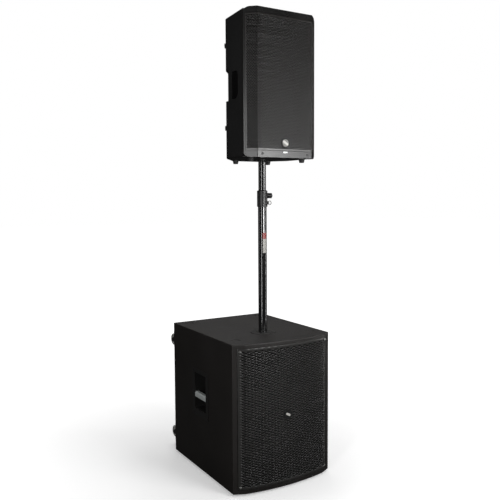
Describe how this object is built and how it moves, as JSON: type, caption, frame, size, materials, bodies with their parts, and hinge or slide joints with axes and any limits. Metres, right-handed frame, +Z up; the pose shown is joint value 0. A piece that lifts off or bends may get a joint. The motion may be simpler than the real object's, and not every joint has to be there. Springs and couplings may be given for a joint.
{
  "type": "pa speaker",
  "caption": "Bow-fronted subwoofer box on rear castors with a telescopic pole that carries a two-way speaker cabinet.",
  "frame": {"origin": "on the floor, under the middle of the stack's bounding box", "axes": "+Z up, the grilles face -Y, +X to the right of a viewer who faces the grilles"},
  "size_m": [0.5264, 0.752, 2.09],
  "materials": {
    "sub_paint": "textured black paint on plywood",
    "baffle_wood": "black stained plywood",
    "grille_steel": "black powder-coated perforated steel",
    "foam": "open-cell black foam",
    "badge": "round badge with a plain bright mark",
    "badge_silver": "brushed silver badge",
    "basket": "black cast basket",
    "cone": "pressed paper pulp",
    "port_plastic": "black tube",
    "handle_plastic": "moulded handle cup",
    "grip_grey": "light grey coated bar",
    "screw_black": "black zinc screws",
    "screw_bright": "bright zinc screws",
    "rubber": "moulded rubber",
    "castor_steel": "black pressed steel",
    "castor_wheel": "light grey wheel",
    "amp_panel": "black sheet panel",
    "heatsink": "black anodised fins",
    "socket_plastic": "panel sockets",
    "knob_plastic": "level knob",
    "switch_plastic": "rocker switch",
    "module_steel": "folded module case",
    "flange_steel": "black steel flange",
    "pole_black": "gloss black powder coat",
    "collar_plastic": "glass-filled nylon",
    "pin_steel": "dark steel pin and ring",
    "shell_plastic": "textured black polypropylene",
    "frame_plastic": "satin dark grey frame",
    "horn_plastic": "moulded horn",
    "light_lens": "white light window"
  },
  "bodies": {
    "subwoofer": {"sub_side_left": "sub_paint", "sub_side_right": "sub_paint", "sub_top_panel": "sub_paint", "sub_bottom_panel": "sub_paint", "sub_back_panel": "sub_paint", "sub_baffle": "baffle_wood", "sub_port_tubes": "port_plastic", "sub_grille_screws": "screw_bright", "sub_grille": "grille_steel", "sub_grille_foam": "foam", "sub_badge": "badge", "sub_woofer_frame": "basket", "sub_handle_cups": "handle_plastic", "sub_handle_grips": "grip_grey", "sub_feet": "rubber", "castor_plates": "castor_steel", "sub_amp_plate": "amp_panel", "sub_sockets": "socket_plastic", "sub_heatsink": "heatsink", "sub_amp_module": "module_steel", "pole_flange": "flange_steel", "pole_stud": "pin_steel", "pole_lower_tube": "pole_black", "pole_collar": "collar_plastic", "sub_fixing_screws": "screw_black"},
    "pole_upper": {"pole_upper_tube": "pole_black", "pole_end_plug": "collar_plastic"},
    "clamp_knob": {"pole_clamp_knob": "collar_plastic"},
    "lock_pin": {"pole_lock_pin": "pin_steel"},
    "sub_cone": {"sub_woofer_cone": "cone"},
    "sub_level": {"sub_level_knob": "knob_plastic"},
    "sub_switch": {"sub_power_switch": "switch_plastic"},
    "top_cone": {"top_woofer_cone": "cone"},
    "top_level_1": {"top_level_knob_1": "knob_plastic"},
    "top_level_2": {"top_level_knob_2": "knob_plastic"},
    "top_switch": {"top_power_switch": "switch_plastic"},
    "castor_1": {"castor_fork_1": "castor_steel"},
    "wheel_1": {"castor_wheel_1": "castor_wheel"},
    "castor_2": {"castor_fork_2": "castor_steel"},
    "wheel_2": {"castor_wheel_2": "castor_wheel"},
    "castor_3": {"castor_fork_3": "castor_steel"},
    "wheel_3": {"castor_wheel_3": "castor_wheel"},
    "castor_4": {"castor_fork_4": "castor_steel"},
    "wheel_4": {"castor_wheel_4": "castor_wheel"},
    "top_speaker": {"top_rear_shell": "shell_plastic", "top_front_frame": "frame_plastic", "top_power_light": "light_lens", "top_grille": "grille_steel", "top_grille_foam": "foam", "top_badge": "badge_silver", "top_horn": "horn_plastic", "top_compression_driver": "basket", "top_woofer_frame": "basket", "top_pole_socket": "collar_plastic", "top_rigging_inserts": "screw_bright", "top_feet": "rubber", "top_amp_plate": "amp_panel", "top_sockets": "socket_plastic", "top_heatsink": "heatsink", "top_fixing_screws": "screw_black"}
  },
  "joints": [
    {"name": "castor_1_swivel", "type": "hinge", "parent": "subwoofer", "child": "castor_1", "pos_m": [-0.217, 0.285, 0.095], "axis": [0, 1, 0], "continuous": true},
    {"name": "castor_1_roll", "type": "hinge", "parent": "castor_1", "child": "wheel_1", "pos_m": [-0.217, 0.346, 0.077], "axis": [1, 0, 0], "continuous": true},
    {"name": "castor_2_swivel", "type": "hinge", "parent": "subwoofer", "child": "castor_2", "pos_m": [0.217, 0.285, 0.095], "axis": [0, 1, 0], "continuous": true},
    {"name": "castor_2_roll", "type": "hinge", "parent": "castor_2", "child": "wheel_2", "pos_m": [0.217, 0.346, 0.077], "axis": [1, 0, 0], "continuous": true},
    {"name": "castor_3_swivel", "type": "hinge", "parent": "subwoofer", "child": "castor_3", "pos_m": [-0.217, 0.285, 0.585], "axis": [0, 1, 0], "continuous": true},
    {"name": "castor_3_roll", "type": "hinge", "parent": "castor_3", "child": "wheel_3", "pos_m": [-0.217, 0.346, 0.567], "axis": [1, 0, 0], "continuous": true},
    {"name": "castor_4_swivel", "type": "hinge", "parent": "subwoofer", "child": "castor_4", "pos_m": [0.217, 0.285, 0.585], "axis": [0, 1, 0], "continuous": true},
    {"name": "castor_4_roll", "type": "hinge", "parent": "castor_4", "child": "wheel_4", "pos_m": [0.217, 0.346, 0.567], "axis": [1, 0, 0], "continuous": true},
    {"name": "pole_height", "type": "slide", "parent": "subwoofer", "child": "pole_upper", "axis": [0, 0, 1], "range_m": [-0.13, 0.2]},
    {"name": "speaker_swivel", "type": "hinge", "parent": "pole_upper", "child": "top_speaker", "pos_m": [0, -0.166, 1.5], "axis": [0, 0, 1], "continuous": true},
    {"name": "clamp_knob_turn", "type": "hinge", "parent": "subwoofer", "child": "clamp_knob", "pos_m": [0.03, -0.166, 1.306], "axis": [1, 0, 0], "range_deg": [-360, 0]},
    {"name": "lock_pin_pull", "type": "slide", "parent": "subwoofer", "child": "lock_pin", "axis": [1, 0, 0], "range_m": [0, 0.01], "stiffness_N_per_m": 600, "springref_m": -0.002},
    {"name": "sub_level_turn", "type": "hinge", "parent": "subwoofer", "child": "sub_level", "pos_m": [0.085, 0.274, 0.26], "axis": [0, 1, 0], "range_deg": [-150, 150]},
    {"name": "sub_power_rock", "type": "hinge", "parent": "subwoofer", "child": "sub_switch", "pos_m": [-0.031, 0.271, 0.188], "axis": [1, 0, 0], "range_deg": [-8, 8]},
    {"name": "sub_cone_travel", "type": "slide", "parent": "subwoofer", "child": "sub_cone", "axis": [0, 1, 0], "range_m": [-0.007, 0.007], "stiffness_N_per_m": 3000},
    {"name": "top_level_1_turn", "type": "hinge", "parent": "top_speaker", "child": "top_level_1", "pos_m": [0.03, -0.009, 1.69], "axis": [0, 1, 0], "range_deg": [-150, 150]},
    {"name": "top_level_2_turn", "type": "hinge", "parent": "top_speaker", "child": "top_level_2", "pos_m": [0.03, -0.009, 1.648], "axis": [0, 1, 0], "range_deg": [-150, 150]},
    {"name": "top_power_rock", "type": "hinge", "parent": "top_speaker", "child": "top_switch", "pos_m": [0.028, -0.012, 1.57], "axis": [1, 0, 0], "range_deg": [-8, 8]},
    {"name": "top_cone_travel", "type": "slide", "parent": "top_speaker", "child": "top_cone", "axis": [0, 1, 0], "range_m": [-0.005, 0.005], "stiffness_N_per_m": 2500}
  ]
}
